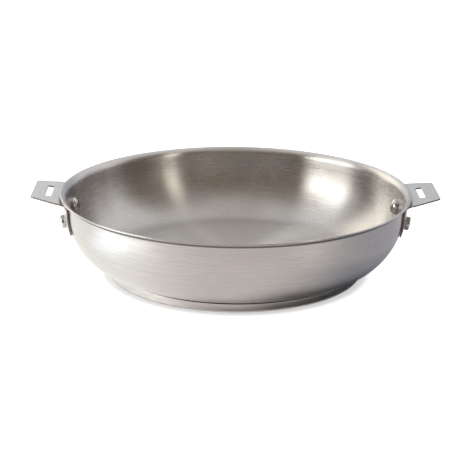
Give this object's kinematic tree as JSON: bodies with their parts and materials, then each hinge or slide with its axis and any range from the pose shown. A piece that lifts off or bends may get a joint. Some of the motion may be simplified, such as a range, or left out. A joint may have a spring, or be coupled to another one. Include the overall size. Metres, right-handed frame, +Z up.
{
  "type": "frying pan",
  "caption": "Low round stainless steel frying pan with a sandwich base and a slotted flange riveted on each side for a lift-off handle.",
  "frame": {"origin": "centre of the underside of the base, on the surface that the pan stands on", "axes": "+Z up along the pan's axis, +X through the middle of one handle flange and -X through the other, -Y to the front"},
  "size_m": [0.3344, 0.29, 0.0693],
  "materials": {
    "shell_steel": "stainless steel, fine brushing round the axis",
    "core_aluminium": "plain rolled",
    "base_steel": "magnetic stainless steel, turned and satin",
    "flange_steel": "tumbled satin stainless steel plate",
    "rivet_steel": "polished stainless steel"
  },
  "bodies": {
    "root": {"pan_shell": "shell_steel", "base_core": "core_aluminium", "base_cap": "base_steel", "handle_flange_left": "flange_steel", "handle_flange_right": "flange_steel", "rivet_left_front": "rivet_steel", "rivet_left_rear": "rivet_steel", "rivet_right_front": "rivet_steel", "rivet_right_rear": "rivet_steel"}
  },
  "joints": []
}
